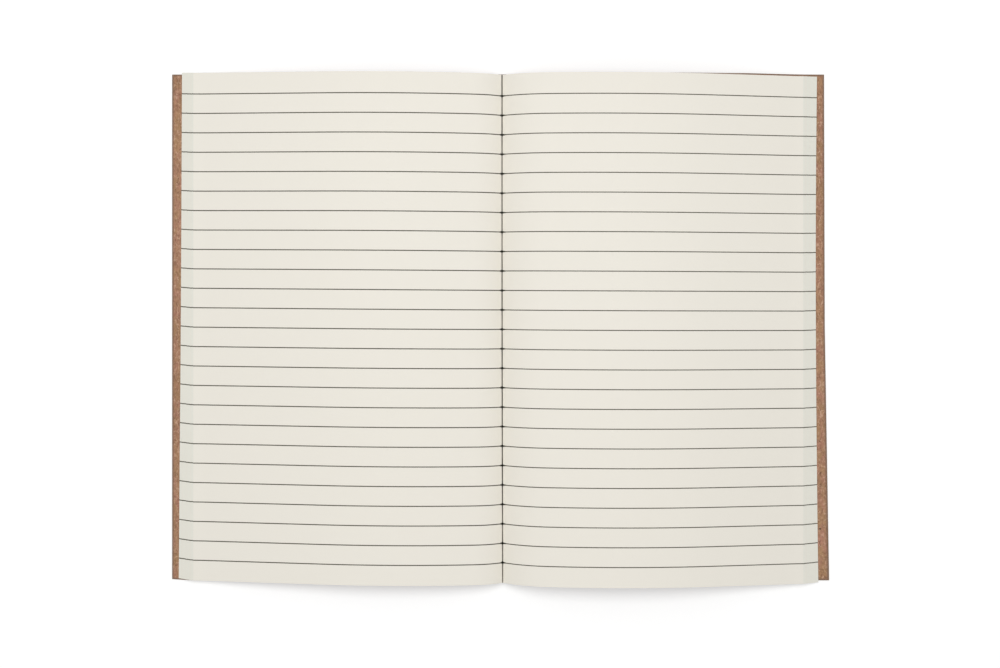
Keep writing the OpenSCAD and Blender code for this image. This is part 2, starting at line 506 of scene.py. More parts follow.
def leaf_face_group() -> Tree:
    """Makes the geometry group that finds a point on a leaf's face.

    Returns:
        The group. It reads a run at a place counted in the run's points, at a share of the stack's depth.
    """
    graph = new_group(
        "leaf_face",
        "GeometryNodeTree",
        {"Run": "Geometry", "Place": "Float", "Share": "Float"},
        {"Point": "Vector", "Down": "Vector", "Room": "Float"},
    )
    run, place, share = graph.start.outputs[:3]
    whole = graph.math("FLOOR", place)
    part = graph.math("SUBTRACT", place, whole)
    ends = [whole, graph.math("ADD", whole, 1.0)]
    fields = [
        graph.get("GeometryNodeInputPosition"),
        graph.get("GeometryNodeInputNamedAttribute", "under", data_type="FLOAT_VECTOR"),
    ]
    faces = []
    for field in fields:
        found = [
            graph.get(
                "GeometryNodeSampleIndex",
                run,
                field,
                graph.get("FunctionNodeFloatToInt", end),
                data_type="FLOAT_VECTOR",
                clamp=True,
            )
            for end in ends
        ]
        faces.append(graph.get("ShaderNodeMix", part, *found, data_type="VECTOR"))
    across = graph.vector("SUBTRACT", faces[1], faces[0])
    point = graph.vector("ADD", faces[0], graph.vector("SCALE", across, share))
    graph.feed(graph.end.inputs["Point"], point)
    graph.feed(graph.end.inputs["Down"], graph.vector("NORMALIZE", across))
    graph.feed(graph.end.inputs["Room"], graph.vector("LENGTH", across))
    return graph.tree


def leaf_edge_group() -> Tree:
    """Makes the geometry group that says how far each leaf strays from its place in the stack.

    Returns:
        The group. The uppermost leaf, number 0, doesn't stray. Along runs from -0.5 at the tail to 0.5
        at the head.
    """
    # leaves, seeds and kinds of straying lie so far apart in the noise that each has its own values
    leaf_stride, seed_stride = 7.31, 3.17
    out_stretch, head_stretch, lift_stretch = 2.5, 0.15, 3.5
    out_row, head_row, lift_row = 0.0, 50.0, 90.0
    cloud_gain, cloud_shift = 4.0, -2.0
    most_lift = 0.07
    graph = new_group(
        "leaf_edge",
        "GeometryNodeTree",
        dict.fromkeys(("Leaf", "Along", "Wander", "Shift"), "Float") | {"Fan": "Vector", "Seed": "Int"},
        {"Out": "Float", "Head": "Float", "Lift": "Float"},
    )
    leaf, along, wander, shift, fan, seed = graph.start.outputs[:6]
    under = graph.math("MINIMUM", leaf, 1.0)

    def stray(stretch: float, row: float) -> Socket:
        """Makes a slow random value that differs from leaf to leaf.

        Args:
            stretch: how fast it changes along the leaf.
            row: the part of the noise that it comes from.

        Returns:
            The value, mostly from -1 to 1.
        """
        place = graph.join(
            graph.math("MULTIPLY", along, stretch),
            graph.math("MULTIPLY_ADD", leaf, leaf_stride, row),
            graph.math("MULTIPLY", seed, seed_stride),
        )
        cloud = graph.get("ShaderNodeTexNoise", place, 1.0, 1.0)
        return graph.math("MULTIPLY", graph.math("MULTIPLY_ADD", cloud, cloud_gain, cloud_shift), under)

    level, slope, bend = graph.split(fan)
    spread = graph.math("MULTIPLY_ADD", graph.math("MULTIPLY_ADD", bend, along, slope), along, level)
    fanned = graph.math("MULTIPLY", leaf, spread)
    strays = {
        "Out": graph.math("MULTIPLY_ADD", stray(out_stretch, out_row), wander, fanned),
        "Head": graph.math("MULTIPLY", stray(head_stretch, head_row), shift),
        "Lift": graph.math("MULTIPLY", stray(lift_stretch, lift_row), most_lift),
    }
    for name, value in strays.items():
        graph.feed(graph.end.inputs[name], value)
    return graph.tree


def put_out(graph: Graph, shape: Socket) -> None:
    """Shades a tree's shape smooth with its sharp edges kept, gives it its finish, and puts it out.

    Args:
        graph: the tree, with an input Finish.
        shape: the geometry.
    """
    sharp_turn = 0.5  # radians
    smooth = graph.get("GeometryNodeSetShadeSmooth", shape, None, True, domain="FACE")
    angle = graph.get("GeometryNodeInputMeshEdgeAngle")
    sharp = graph.get(
        "FunctionNodeCompare", angle, sharp_turn, data_type="FLOAT", operation="GREATER_THAN"
    )
    shaded = graph.get("GeometryNodeSetShadeSmooth", smooth, sharp, False, domain="EDGE")
    finished = graph.get("GeometryNodeSetMaterial", shaded, None, graph.start.outputs["Finish"])
    graph.feed(graph.end.inputs[0], finished)


@dataclass
class PageParts:
    """The geometry groups that the leaves and their print share."""

    face: Tree
    edge: Tree

    def place(self, graph: Graph, leaf: Wire, place: Wire, lift: Wire) -> dict[str, Socket]:
        """Adds the leaf_face group for a place on a leaf.

        Args:
            graph: the tree, with the inputs of PAGE_INPUTS.
            leaf: the leaf's number.
            place: the place on it, counted in the run's points.
            lift: how far the leaf strays downwards, in leaves.

        Returns:
            The group's outputs by name.
        """
        inputs = graph.start.outputs
        run = graph.node("GeometryNodeObjectInfo", inputs["Run"]).outputs["Geometry"]
        share = graph.math("DIVIDE", graph.math("ADD", leaf, lift), inputs["Sheets"])
        made = graph.node("GeometryNodeGroup", run, place, share, node_tree=self.face)
        return {socket.name: socket for socket in made.outputs}

    def end(self, graph: Graph, leaf: Wire, out: Wire) -> Socket:
        """Returns the place of a leaf's fore-edge, counted in the run's points."""
        return graph.math("ADD", graph.math("ADD", graph.start.outputs["Edge"], leaf), out)

    def stray(self, graph: Graph, leaf: Wire, along: Wire) -> dict[str, Socket]:
        """Adds the leaf_edge group, fed by the tree's own inputs.

        Args:
            graph: the tree, with the inputs of PAGE_INPUTS.
            leaf: the leaf's number.
            along: the place along the fold, as a share of the leaf's height from its middle.

        Returns:
            The group's outputs by name.
        """
        inputs = graph.start.outputs
        towards_head = graph.math("MULTIPLY", along, inputs["Side"])
        own = (inputs[name] for name in ("Wander", "Shift", "Fan", "Seed"))
        made = graph.node("GeometryNodeGroup", leaf, towards_head, *own, node_tree=self.edge)
        return {socket.name: socket for socket in made.outputs}


PAGE_INPUTS = {
    "Run": "Object",
    "Side": "Float",
    "Fold": "Float",
    "Middle": "Float",
    "Skew": "Float",
    "Slide": "Float",
    "Fan": "Vector",
    "Height": "Float",
    "Lean": "Float",
    "Sheets": "Int",
    "Edge": "Int",
    "Wander": "Float",
    "Shift": "Float",
    "Seed": "Int",
    "Finish": "Material",
}


def on_spread(graph: Graph, point: Wire, leaf: Wire, along: Wire, shift: Wire) -> Socket:
    """Puts a point of the section in its place on the spread.

    Args:
        graph: the tree, with the inputs of PAGE_INPUTS.
        point: the point in the section.
        leaf: the number of its leaf.
        along: how far along the fold it lies from the middle of the leaves.
        shift: how far its leaf strays towards the head.

    Returns:
        The point in the notebook's frame.
    """
    # the lean fades out 30 mm from the fold and twelve leaves down, and grows towards the tail
    lean_reach, lean_leaves, lean_power = 0.03, 12.0, 3.0
    inputs = graph.start.outputs
    x, _, z = graph.split(point)
    near_fold = graph.ramp(x, 0.0, lean_reach, inputs["Lean"], 0.0)
    near_top = graph.ramp(leaf, 0.0, lean_leaves, 1.0, 0.0)
    lean = graph.math("MULTIPLY", near_fold, near_top)
    y = graph.math("MULTIPLY", along, inputs["Side"])
    from_head = graph.math("SUBTRACT", 0.5, graph.math("DIVIDE", y, inputs["Height"]))
    fold = graph.math("MULTIPLY_ADD", lean, graph.math("POWER", from_head, lean_power), inputs["Fold"])
    skew = graph.math("MULTIPLY_ADD", leaf, inputs["Slide"], inputs["Skew"])
    skewed = graph.math("MULTIPLY_ADD", x, skew, graph.math("ADD", inputs["Middle"], shift))
    across = graph.math("MULTIPLY_ADD", x, inputs["Side"], fold)
    return graph.join(across, graph.math("ADD", y, skewed), z)


def leaves_tree(parts: PageParts) -> Tree:
    """Makes the geometry tree of one half of the leaves.

    Args:
        parts: the groups that it uses.

    Returns:
        The tree. It lays one thin sheet for each leaf between the run's two faces.
    """
    # the crease's painted shade fades between two places on the uppermost leaf, counted in the run's
    # points
    shade_full, shade_gone = 1.0, 2.8
    share_of_room = 0.8
    own = {"Columns": "Int", "Rows": "Int", "Paper": "Float"}
    graph = new_group("bound_leaves", "GeometryNodeTree", PAGE_INPUTS | own, {"Leaves": "Geometry"})
    inputs = graph.start.outputs
    sheet = graph.get("GeometryNodeMeshCube", (1.0, 1.0, 1.0), inputs["Columns"], inputs["Rows"], 2)
    starts = graph.get("GeometryNodePoints", inputs["Sheets"])
    number = graph.get("GeometryNodeInputIndex")
    starts = graph.keep(starts, "leaf", number)
    sheets = graph.get("GeometryNodeInstanceOnPoints", starts, None, sheet)
    sheets = graph.get("GeometryNodeRealizeInstances", sheets)
    leaf = graph.kept("leaf")
    u, v, top = graph.split(graph.get("GeometryNodeInputPosition"))
    stray = parts.stray(graph, leaf, v)
    place = graph.math("MULTIPLY", graph.math("ADD", u, 0.5), parts.end(graph, leaf, stray["Out"]))
    found = parts.place(graph, leaf, place, stray["Lift"])
    room = graph.math("DIVIDE", graph.math("MULTIPLY", found["Room"], share_of_room), inputs["Sheets"])
    thick = graph.math("MINIMUM", inputs["Paper"], room)
    sunk = graph.math("MULTIPLY", thick, graph.math("SUBTRACT", 0.5, top))
    point = graph.vector("ADD", found["Point"], graph.vector("SCALE", found["Down"], sunk))
    where = on_spread(graph, point, leaf, graph.math("MULTIPLY", v, inputs["Height"]), stray["Head"])
    uppermost = graph.math("LESS_THAN", leaf, 0.5)
    deep = graph.ramp(place, shade_full, shade_gone, uppermost, 0.0)
    # the crease attribute carries where the crease's painted shade lies
    sheets = graph.keep(sheets, "crease", deep)
    put_out(graph, graph.get("GeometryNodeSetPosition", sheets, None, where))
    return graph.tree


def ruling_tree(parts: PageParts) -> Tree:
    """Makes the geometry tree of one half's printed lines.

    Args:
        parts: the groups that it uses.

    Returns:
        The tree. It lays the lines on the uppermost leaf, and their ends on the steps of the leaves
        under it.
    """
    # the ink is drawn wider in the crease, as painted shade where the lines cross it, and the widening
    # fades between two places counted in the same way
    shade_widening_full, shade_widening_gone, shade_widening = 2.4, 3.8, 1.6
    own = {"Columns": "Int", "Lines": "Int", "Pitch": "Float", "Width": "Float", "Ink": "Float"}
    graph = new_group("printed_lines", "GeometryNodeTree", PAGE_INPUTS | own, {"Print": "Geometry"})
    inputs = graph.start.outputs
    steps = graph.math("SUBTRACT", inputs["Sheets"], 1.0)
    number = graph.get("GeometryNodeInputIndex")
    middle = graph.math("MULTIPLY", graph.math("SUBTRACT", inputs["Lines"], 1.0), 0.5)
    row = graph.math("FLOOR", graph.math("DIVIDE", number, inputs["Lines"]))
    place_in_row = graph.math("SUBTRACT", graph.math("MODULO", number, inputs["Lines"]), middle)
    shaped = []
    for ends in (False, True):
        columns = 2 if ends else inputs["Columns"]
        ribbon = graph.get("GeometryNodeMeshCube", (1.0, 1.0, 1.0), columns, 2, 2)
        count = graph.math("MULTIPLY", inputs["Lines"], steps if ends else 1.0)
        starts = graph.get("GeometryNodePoints", graph.get("FunctionNodeFloatToInt", count))
        starts = graph.keep(starts, "row", graph.math("ADD", row, 1.0 if ends else 0.0))
        starts = graph.keep(starts, "line", place_in_row)
        ribbons = graph.get("GeometryNodeInstanceOnPoints", starts, None, ribbon)
        ribbons = graph.get("GeometryNodeRealizeInstances", ribbons)
        leaf = graph.kept("row")
        u, v, top = graph.split(graph.get("GeometryNodeInputPosition"))
        centre = graph.math("MULTIPLY", graph.kept("line"), inputs["Pitch"])
        down_leaf = graph.math("DIVIDE", centre, inputs["Height"])
        stray = parts.stray(graph, leaf, down_leaf)
        end = parts.end(graph, leaf, stray["Out"])
        start = 0.0
        if ends:
            above = graph.math("SUBTRACT", leaf, 1.0)
            start = parts.end(graph, above, parts.stray(graph, above, down_leaf)["Out"])
        place = graph.get("ShaderNodeMix", graph.math("ADD", u, 0.5), start, end, data_type="FLOAT")
        deep = graph.ramp(place, shade_widening_full, shade_widening_gone, 1.0, 0.0)
        width = graph.math("MULTIPLY", inputs["Width"], graph.math("MULTIPLY_ADD", deep, shade_widening, 1.0))
        along = graph.math("MULTIPLY_ADD", v, width, centre)
        found = parts.place(graph, leaf, place, stray["Lift"])
        # the cube's top, at 0.5, stands out of the leaf by the ink, and its bottom lies as deep in it
        lift = graph.math("MULTIPLY", top, graph.math("MULTIPLY", inputs["Ink"], -2.0))
        point = graph.vector("ADD", found["Point"], graph.vector("SCALE", found["Down"], lift))
        where = on_spread(graph, point, leaf, along, stray["Head"])
        # the same ramp tells the ink where to take its painted crease shade
        ribbons = graph.keep(ribbons, "crease", deep)
        shaped.append(graph.get("GeometryNodeSetPosition", ribbons, None, where))
    both = graph.node("GeometryNodeJoinGeometry")
    for shape in shaped:
        graph.feed(both.inputs[0], shape)
    put_out(graph, both.outputs[0])
    return graph.tree


def bake(name: str, tree: Tree, values: dict[str, object]) -> bpy.types.Object:
    """Runs a geometry tree and keeps its result as a plain mesh.

    Args:
        name: the new piece's name.
        tree: the tree.
        values: what each of its named inputs gets.

    Returns:
        The piece, at the origin.
    """
    carrier = add_object(name + "_carrier", bpy.data.meshes.new(name + "_carrier"))
    modifier = carrier.modifiers.new("shape", "NODES")
    modifier.node_group = tree
    sockets = {item.name: item.identifier for item in tree.interface.items_tree if item.in_out == "INPUT"}
    for title, value in values.items():
        modifier[sockets[title]] = value
    shown = bpy.context.evaluated_depsgraph_get()
    mesh = bpy.data.meshes.new_from_object(carrier.evaluated_get(shown), depsgraph=shown)
    mesh.name = name
    bpy.data.objects.remove(carrier)
    return add_object(name, mesh)


def cloud_group() -> Tree:
    """Makes the shader group of soft blotches.

    Returns:
        The group. Its mask runs from 0 to 1, and Contrast sharpens the blotches.
    """
    roughness = 0.55
    graph = new_group(
        "blotches",
        "ShaderNodeTree",
        {"Place": "Vector", "Scale": "Float", "Detail": "Float", "Contrast": "Float"},
        {"Mask": "Float"},
    )
    place, scale, detail, contrast = graph.start.outputs[:4]
    cloud = graph.get("ShaderNodeTexNoise", place, scale, detail, roughness)
    spread = graph.math("MULTIPLY", graph.math("SUBTRACT", cloud, 0.5), contrast)
    mask = graph.get("ShaderNodeClamp", graph.math("ADD", spread, 0.5), 0.0, 1.0)
    graph.feed(graph.end.inputs["Mask"], mask)
    return graph.tree


def fibre_group() -> Tree:
    """Makes the shader group of short pulp fibres.

    Returns:
        The group. Its mask is 1 on a fibre. The fibres are broken contour lines of a slow noise.
    """
    detail, roughness, lacunarity, distortion = 1.0, 0.5, 2.0, 0.6
    breaks_place, breaks_scale, breaks_blur = (3.7, 1.9, 5.3), 1.3, 0.08
    graph = new_group(
        "fibres",
        "ShaderNodeTree",
        {"Place": "Vector", "Scale": "Float", "Thickness": "Float", "Cover": "Float"},
        {"Mask": "Float"},
    )
    place, scale, thickness, cover = graph.start.outputs[:4]
    cloud = graph.get("ShaderNodeTexNoise", place, scale, detail, roughness, lacunarity, distortion)
    away = graph.math("ABSOLUTE", graph.math("SUBTRACT", cloud, 0.5))
    thread = graph.ramp(away, 0.0, thickness, 1.0, 0.0)
    moved = graph.vector("ADD", place, breaks_place)
    breaks = graph.get("ShaderNodeTexNoise", moved, graph.math("MULTIPLY", scale, breaks_scale), detail)
    low = graph.math("SUBTRACT", 1.0, cover)
    kept = graph.ramp(breaks, low, graph.math("ADD", low, breaks_blur), 0.0, 1.0)
    graph.feed(graph.end.inputs["Mask"], graph.math("MULTIPLY", thread, kept))
    return graph.tree


@dataclass(frozen=True)
class Blotches:
    """Soft blotches: how many there are to a metre, how finely they are broken up and how sharp."""

    scale: float
    detail: float
    contrast: float


@dataclass(frozen=True)
class Fibres:
    """Pulp fibres: how many there are to a metre, how thick they are and how much of each shows."""

    scale: float
    thickness: float
    cover: float


@dataclass
class Textures:
    """The shader groups that the finishes share, and the ways to place them in a material."""

    cloud: Tree
    fibre: Tree

    def blotches(self, graph: Graph, place: Wire, kind: Blotches) -> Socket:
        """Places the group of soft blotches, and returns its mask."""
        sizes = kind.scale, kind.detail, kind.contrast
        return graph.get("ShaderNodeGroup", place, *sizes, node_tree=self.cloud)

    def fibres(self, graph: Graph, place: Wire, kind: Fibres) -> Socket:
        """Places the group of pulp fibres, and returns its mask."""
        sizes = kind.scale, kind.thickness, kind.cover
        return graph.get("ShaderNodeGroup", place, *sizes, node_tree=self.fibre)


def start_material(name: str) -> tuple[Material, Graph, bpy.types.Node]:
    """Makes an empty material with a Principled shader.

    Args:
        name: the material's name.

    Returns:
        The material, its graph and its shader.
    """
    material = bpy.data.materials.new(name)
    material.use_nodes = True
    graph = Graph(material.node_tree)
    return material, graph, graph.tree.nodes["Principled BSDF"]


def layered(graph: Graph, base: Shade, layers: list[tuple[Socket, float, Shade]]) -> Wire:
    """Lays colours over a base, one after another.

    Args:
        graph: the material's graph.
        base: the lowest colour.
        layers: for each colour the mask that shows it, from 0 to 1, the most of it that shows, and
            the colour.

    Returns:
        The mixed colour.
    """
    colour = (*base, 1.0)
    for mask, amount, shade in layers:
        share = graph.math("MULTIPLY", mask, amount)
        colour = graph.get("ShaderNodeMix", share, colour, (*shade, 1.0), data_type="RGBA")
    return colour


def attribute(graph: Graph, name: str) -> Socket:
    """Returns the value of a mesh attribute of the piece."""
    made = graph.node("ShaderNodeAttribute", attribute_name=name)
    return made.outputs["Fac"]


@dataclass(frozen=True)
class Finish:
    """What the finishes share: the range of their roughness, and how strong and deep their grain is."""

    roughness: Range
    relief: tuple[float, float]
    sheen: float = 0.3

    def dress(self, graph: Graph, shader: bpy.types.Node, colour: Wire, dull: Wire, height: Wire) -> None:
        """Joins a finish up to its shader.

        Args:
            graph: the material's graph.
            shader: its shader.
            colour: the surface's colour.
            dull: where the surface is roughest, from 0 to 1.
            height: how high its grain stands, from 0 to 1.
        """
        graph.feed(shader.inputs["Base Color"], colour)
        graph.feed(shader.inputs["Roughness"], graph.ramp(dull, 0.0, 1.0, *self.roughness))
        shader.inputs["Specular IOR Level"].default_value = self.sheen
        graph.feed(shader.inputs["Normal"], graph.get("ShaderNodeBump", *self.relief, None, height))


@dataclass(frozen=True)
class PaperFinish(Finish):
    """Uncoated cream writing paper, with painted shade: darker and cooler on the leaves under the open
    pages, and dark in the crease.
    """

    roughness: Range = (0.84, 0.93)
    relief: tuple[float, float] = (0.25, 0.00002)
    open_page: Shade = (0.85, 0.815, 0.735)
    # painted shade on the steps of the leaves under the open pages, darker and cooler than the open page
    painted_shade_under_page: Shade = (0.785, 0.785, 0.715)
    shaded: Shade = (0.80, 0.765, 0.685)
    pulp: Shade = (0.70, 0.66, 0.57)
    # painted shade for the bottom of the crease on the uppermost leaf
    crease: Shade = (0.10, 0.09, 0.075)
    half_height: float = 0.1
    cooler_at_tail: float = 0.7
    least_crease_shade: float = 0.55
    leaf_to_leaf: Blotches = Blotches(0.3, 1.0, 4.0)
    formation: Blotches = Blotches(170.0, 3.0, 2.2)
    crease_shade_blotches: Blotches = Blotches(60.0, 3.0, 4.0)
    tooth: Blotches = Blotches(4200.0, 2.0, 1.5)
    fibres: Fibres = Fibres(900.0, 0.02, 0.45)

    def build(self, textures: Textures) -> Material:
        """Makes the paper's material.

        Args:
            textures: the shared groups.

        Returns:
            The material.
        """
        material, graph, shader = start_material("cream_paper")
        place = graph.node("ShaderNodeTexCoord").outputs["Object"]
        leaf = attribute(graph, "leaf")
        along = graph.split(place)[1]
        # the leaves under the open pages get painted shade, weaker towards the tail
        cooler = graph.ramp(along, -self.half_height, self.half_height, self.cooler_at_tail, 1.0)
        under = graph.math("MULTIPLY", graph.get("ShaderNodeClamp", leaf, 0.0, 1.0), cooler)
        differs = textures.blotches(graph, graph.join(leaf, 0.0, 0.0), self.leaf_to_leaf)
        formation = textures.blotches(graph, place, self.formation)
        crease_shade_cloud = textures.blotches(graph, place, self.crease_shade_blotches)
        uneven = graph.ramp(crease_shade_cloud, 0.0, 1.0, self.least_crease_shade, 1.0)
        layers = [
            (under, 1.0, self.painted_shade_under_page),
            (graph.math("MULTIPLY", differs, under), 0.6, self.shaded),
            (formation, 0.10, self.shaded),
            (textures.fibres(graph, place, self.fibres), 0.10, self.pulp),
            # painted shade in the crease, made uneven along the fold
            (graph.math("MULTIPLY", attribute(graph, "crease"), uneven), 1.0, self.crease),
        ]
        colour = layered(graph, self.open_page, layers)
        self.dress(graph, shader, colour, formation, textures.blotches(graph, place, self.tooth))
        return material


@dataclass(frozen=True)
class InkFinish(Finish):
    """Thin warm grey ink that lets a little of the paper's tooth through, with painted shade that turns
    it near-black in the crease.
    """

    roughness: Range = (0.62, 0.82)
    relief: tuple[float, float] = (0.2, 0.00001)
    ink: Shade = (0.068, 0.063, 0.045)
    thin: Shade = (0.155, 0.144, 0.112)
    # painted shade for the ink in the crease
    painted_crease_shade: Shade = (0.008, 0.008, 0.007)
    wear: Blotches = Blotches(1500.0, 2.0, 2.0)

    def build(self, textures: Textures) -> Material:
        """Makes the ink's material.

        Args:
            textures: the shared groups.

        Returns:
            The material.
        """
        material, graph, shader = start_material("grey_ink")
        place = graph.node("ShaderNodeTexCoord").outputs["Object"]
        worn = textures.blotches(graph, place, self.wear)
        # the ink is painted near-black in the crease, as painted shade
        layers = [(worn, 0.35, self.thin), (attribute(graph, "crease"), 1.0, self.painted_crease_shade)]
        self.dress(graph, shader, layered(graph, self.ink, layers), worn, worn)
        return material


@dataclass(frozen=True)
class KraftFinish(Finish):
    """Brown kraft card with pulp fibres, small dark specks, one small stain, and a darker colour within a
    millimetre of its edges.
    """

    roughness: Range = (0.74, 0.9)
    relief: tuple[float, float] = (0.35, 0.00004)
    base: Shade = (0.434, 0.233, 0.144)
    ruddy: Shade = (0.507, 0.241, 0.173)
    sandy: Shade = (0.437, 0.269, 0.126)
    dark: Shade = (0.150, 0.075, 0.042)
    stain: Shade = (0.030, 0.018, 0.012)
    pale: Shade = (0.680, 0.450, 0.320)
    # the colour laid within a millimetre of the card's edges
    cut: Shade = (0.200, 0.125, 0.085)
    stretch: Triple = (1.0, 0.5, 1.0)
    move: Triple = (0.31, 0.17, 0.23)
    ruddy_kind: Blotches = Blotches(260.0, 2.0, 4.5)
    sandy_kind: Blotches = Blotches(420.0, 3.0, 4.0)
    slow_kind: Blotches = Blotches(80.0, 2.0, 4.0)
    mottle_kind: Blotches = Blotches(1300.0, 3.0, 3.0)
    dark_fibres: Fibres = Fibres(600.0, 0.05, 0.55)
    pale_fibres: Fibres = Fibres(800.0, 0.05, 0.55)
    speck_scale: float = 330.0
    speck_radius: Range = (0.06, 0.12)
    stain_place: Triple = (0.1321, -0.0828, 0.0004)
    stain_radius: Range = (0.00025, 0.0005)
    rim_width: Range = (0.3, 0.9)

    def build(self, textures: Textures, grain: Grain, ends: Range) -> Material:
        """Makes the card's material.

        Args:
            textures: the shared groups.
            grain: where the grain's place comes from.
            ends: where the fold's tail and head are cut, in metres.

        Returns:
            The material.
        """
        material, graph, shader = start_material("kraft_card_" + grain.name.lower())
        coordinates = graph.node("ShaderNodeTexCoord").outputs
        place = graph.vector("MULTIPLY", coordinates[grain.value], self.stretch)
        moved = graph.vector("ADD", place, self.move)
        mottle = textures.blotches(graph, place, self.mottle_kind)
        pale = textures.fibres(graph, moved, self.pale_fibres)
        specks = graph.get("ShaderNodeTexVoronoi", place, self.speck_scale)
        layers = [
            (textures.blotches(graph, place, self.ruddy_kind), 0.65, self.ruddy),
            (textures.blotches(graph, moved, self.sandy_kind), 0.65, self.sandy),
            (textures.blotches(graph, moved, self.slow_kind), 0.15, self.dark),
            (mottle, 0.42, self.dark),
            (textures.fibres(graph, place, self.dark_fibres), 0.6, self.dark),
            (pale, 0.65, self.pale),
            (graph.ramp(specks, *self.speck_radius, 1.0, 0.0), 0.6, self.dark),
        ]
        if grain is Grain.FLAT:
            away = graph.vector("DISTANCE", coordinates["Object"], self.stain_place)
            stained = graph.ramp(away, *self.stain_radius, 1.0, 0.0)
            layers.append((stained, 0.9, self.stain))
            inset = attribute(graph, "inset")
        else:
            tail, head = ends
            along = graph.split(coordinates["Object"])[1]
            from_middle = graph.math("ABSOLUTE", graph.math("SUBTRACT", along, (tail + head) / 2))
            inset = graph.math("MULTIPLY_ADD", from_middle, -1 / MM, (head - tail) / 2 / MM)
        # darker within 0.3 to 0.9 mm of the card's edges
        layers.append((graph.ramp(inset, *self.rim_width, 1.0, 0.0), 0.9, self.cut))
        colour = layered(graph, self.base, layers)
        self.dress(graph, shader, colour, mottle, graph.math("ADD", mottle, pale))
        return material


@dataclass(frozen=True)
class WireFinish(Finish):
    """Drawn steel wire with dull streaks along it."""

    roughness: Range = (0.28, 0.45)
    relief: tuple[float, float] = (0.2, 0.00001)
    sheen: float = 0.5
    steel: Shade = (0.62, 0.62, 0.64)
    dull: Shade = (0.36, 0.35, 0.34)
    stretch: Triple = (1.0, 0.06, 1.0)
    drawing: Blotches = Blotches(9000.0, 3.0, 2.5)

    def build(self, textures: Textures) -> Material:
        """Makes the wire's material.

        Args:
            textures: the shared groups.

        Returns:
            The material.
        """
        material, graph, shader = start_material("staple_steel")
        place = graph.node("ShaderNodeTexCoord").outputs["Object"]
        drawn = graph.vector("MULTIPLY", place, self.stretch)
        streaks = textures.blotches(graph, drawn, self.drawing)
        shader.inputs["Metallic"].default_value = 1.0
        colour = layered(graph, self.steel, [(streaks, 0.5, self.dull)])
        self.dress(graph, shader, colour, streaks, streaks)
        return material


@dataclass
class Leaves:
    """One half of the bound leaves, with the lines printed on them, in millimetres.

    The edge is the uppermost leaf's fore-edge, counted from the fold. There the leaves lie nearer the
    head by the skew, and the lowest one by the slide too. The fan is how far the lowest leaf reaches
    beyond a regular stair at the tail, in the middle and at the head. The lean is the crease's at the
    tail. The wander is a share of a step, by which an edge strays.
    """

    side: Side
    edge: float
    fold: float
    spread: Spread
    parts: PageParts
    seed: int
    skew: float
    slide: float
    fan: Triple
    middle: float = -0.2
    tail_cut: float = 0.35
    lean: float = 0.27
    rows: int = 15
    wander: float = 0.3
    shift: float = 0.07
    line_count: int = 25
    line_pitch: float = 8.0
    line_width: float = 0.39
    ink: float = 0.012

    def fan_values(self) -> Triple:
        """Turns the fan's reach at the tail, the middle and the head into a curve along the fold.

        Returns:
            The curve's level, slope and bend, in steps for each leaf.
        """
        stair = self.spread.step_out * (self.spread.sheets - 1)
        tail, middle, head = (reach / stair for reach in self.fan)
        return middle, head - tail, 2 * (head + tail - 2 * middle)

    def shared_values(self, run: bpy.types.Object, last: int) -> dict[str, object]:
        """Gives what both trees are told about this half.

        Args:
            run: the helper that holds the leaves' run.
            last: the number of the uppermost leaf's last point in it.

        Returns:
            The values by the names of the trees' inputs.
        """
        return {
            "Run": run,
            "Side": self.side.value,
            "Fold": self.fold * MM,
            "Middle": self.middle * MM,
            "Skew": self.skew / self.edge,
            "Slide": self.slide / self.edge / (self.spread.sheets - 1),
            "Fan": self.fan_values(),
            "Height": self.spread.leaf_height * MM,
            "Lean": self.lean * MM,
            "Sheets": self.spread.sheets,
            "Edge": last,
            "Wander": self.wander,
            "Shift": self.shift * MM,
            "Seed": self.seed,
            "Columns": last + 1,
        }

    def build(self, paper: Material, ink: Material) -> list[bpy.types.Object]:
        """Makes the leaves and their lines, and puts them on the block.

        Args:
            paper: the leaves' material.
            ink: the lines' material.

        Returns:
            The two pieces.
        """
        word = self.side.name.lower()
        pairs, last = self.spread.leaf_run(self.edge)
        run = run_object(word + "_run", pairs)
        shared = self.shared_values(run, last)
        sheets = {
            "Middle": (self.middle + self.tail_cut / 2) * MM,
            "Height": (self.spread.leaf_height - self.tail_cut) * MM,
            "Rows": self.rows,
            "Paper": self.spread.paper * MM,
            "Finish": paper,
        }
        lines = {
            "Lines": self.line_count,
            "Pitch": self.line_pitch * MM,
            "Width": self.line_width * MM,
            "Ink": self.ink * MM,
            "Finish": ink,
        }
        leaves = bake(word + "_leaves", leaves_tree(self.parts), shared | sheets)
        ruling = bake(word + "_page_lines", ruling_tree(self.parts), shared | lines)
        bpy.data.objects.remove(run)
        for piece, node, slot in (
            (leaves, "page_block", "page_paper"),
            (ruling, word + "_page_ruling", "ruling_ink"),
        ):
            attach(piece, "block")
            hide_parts(node)
        return [leaves, ruling]


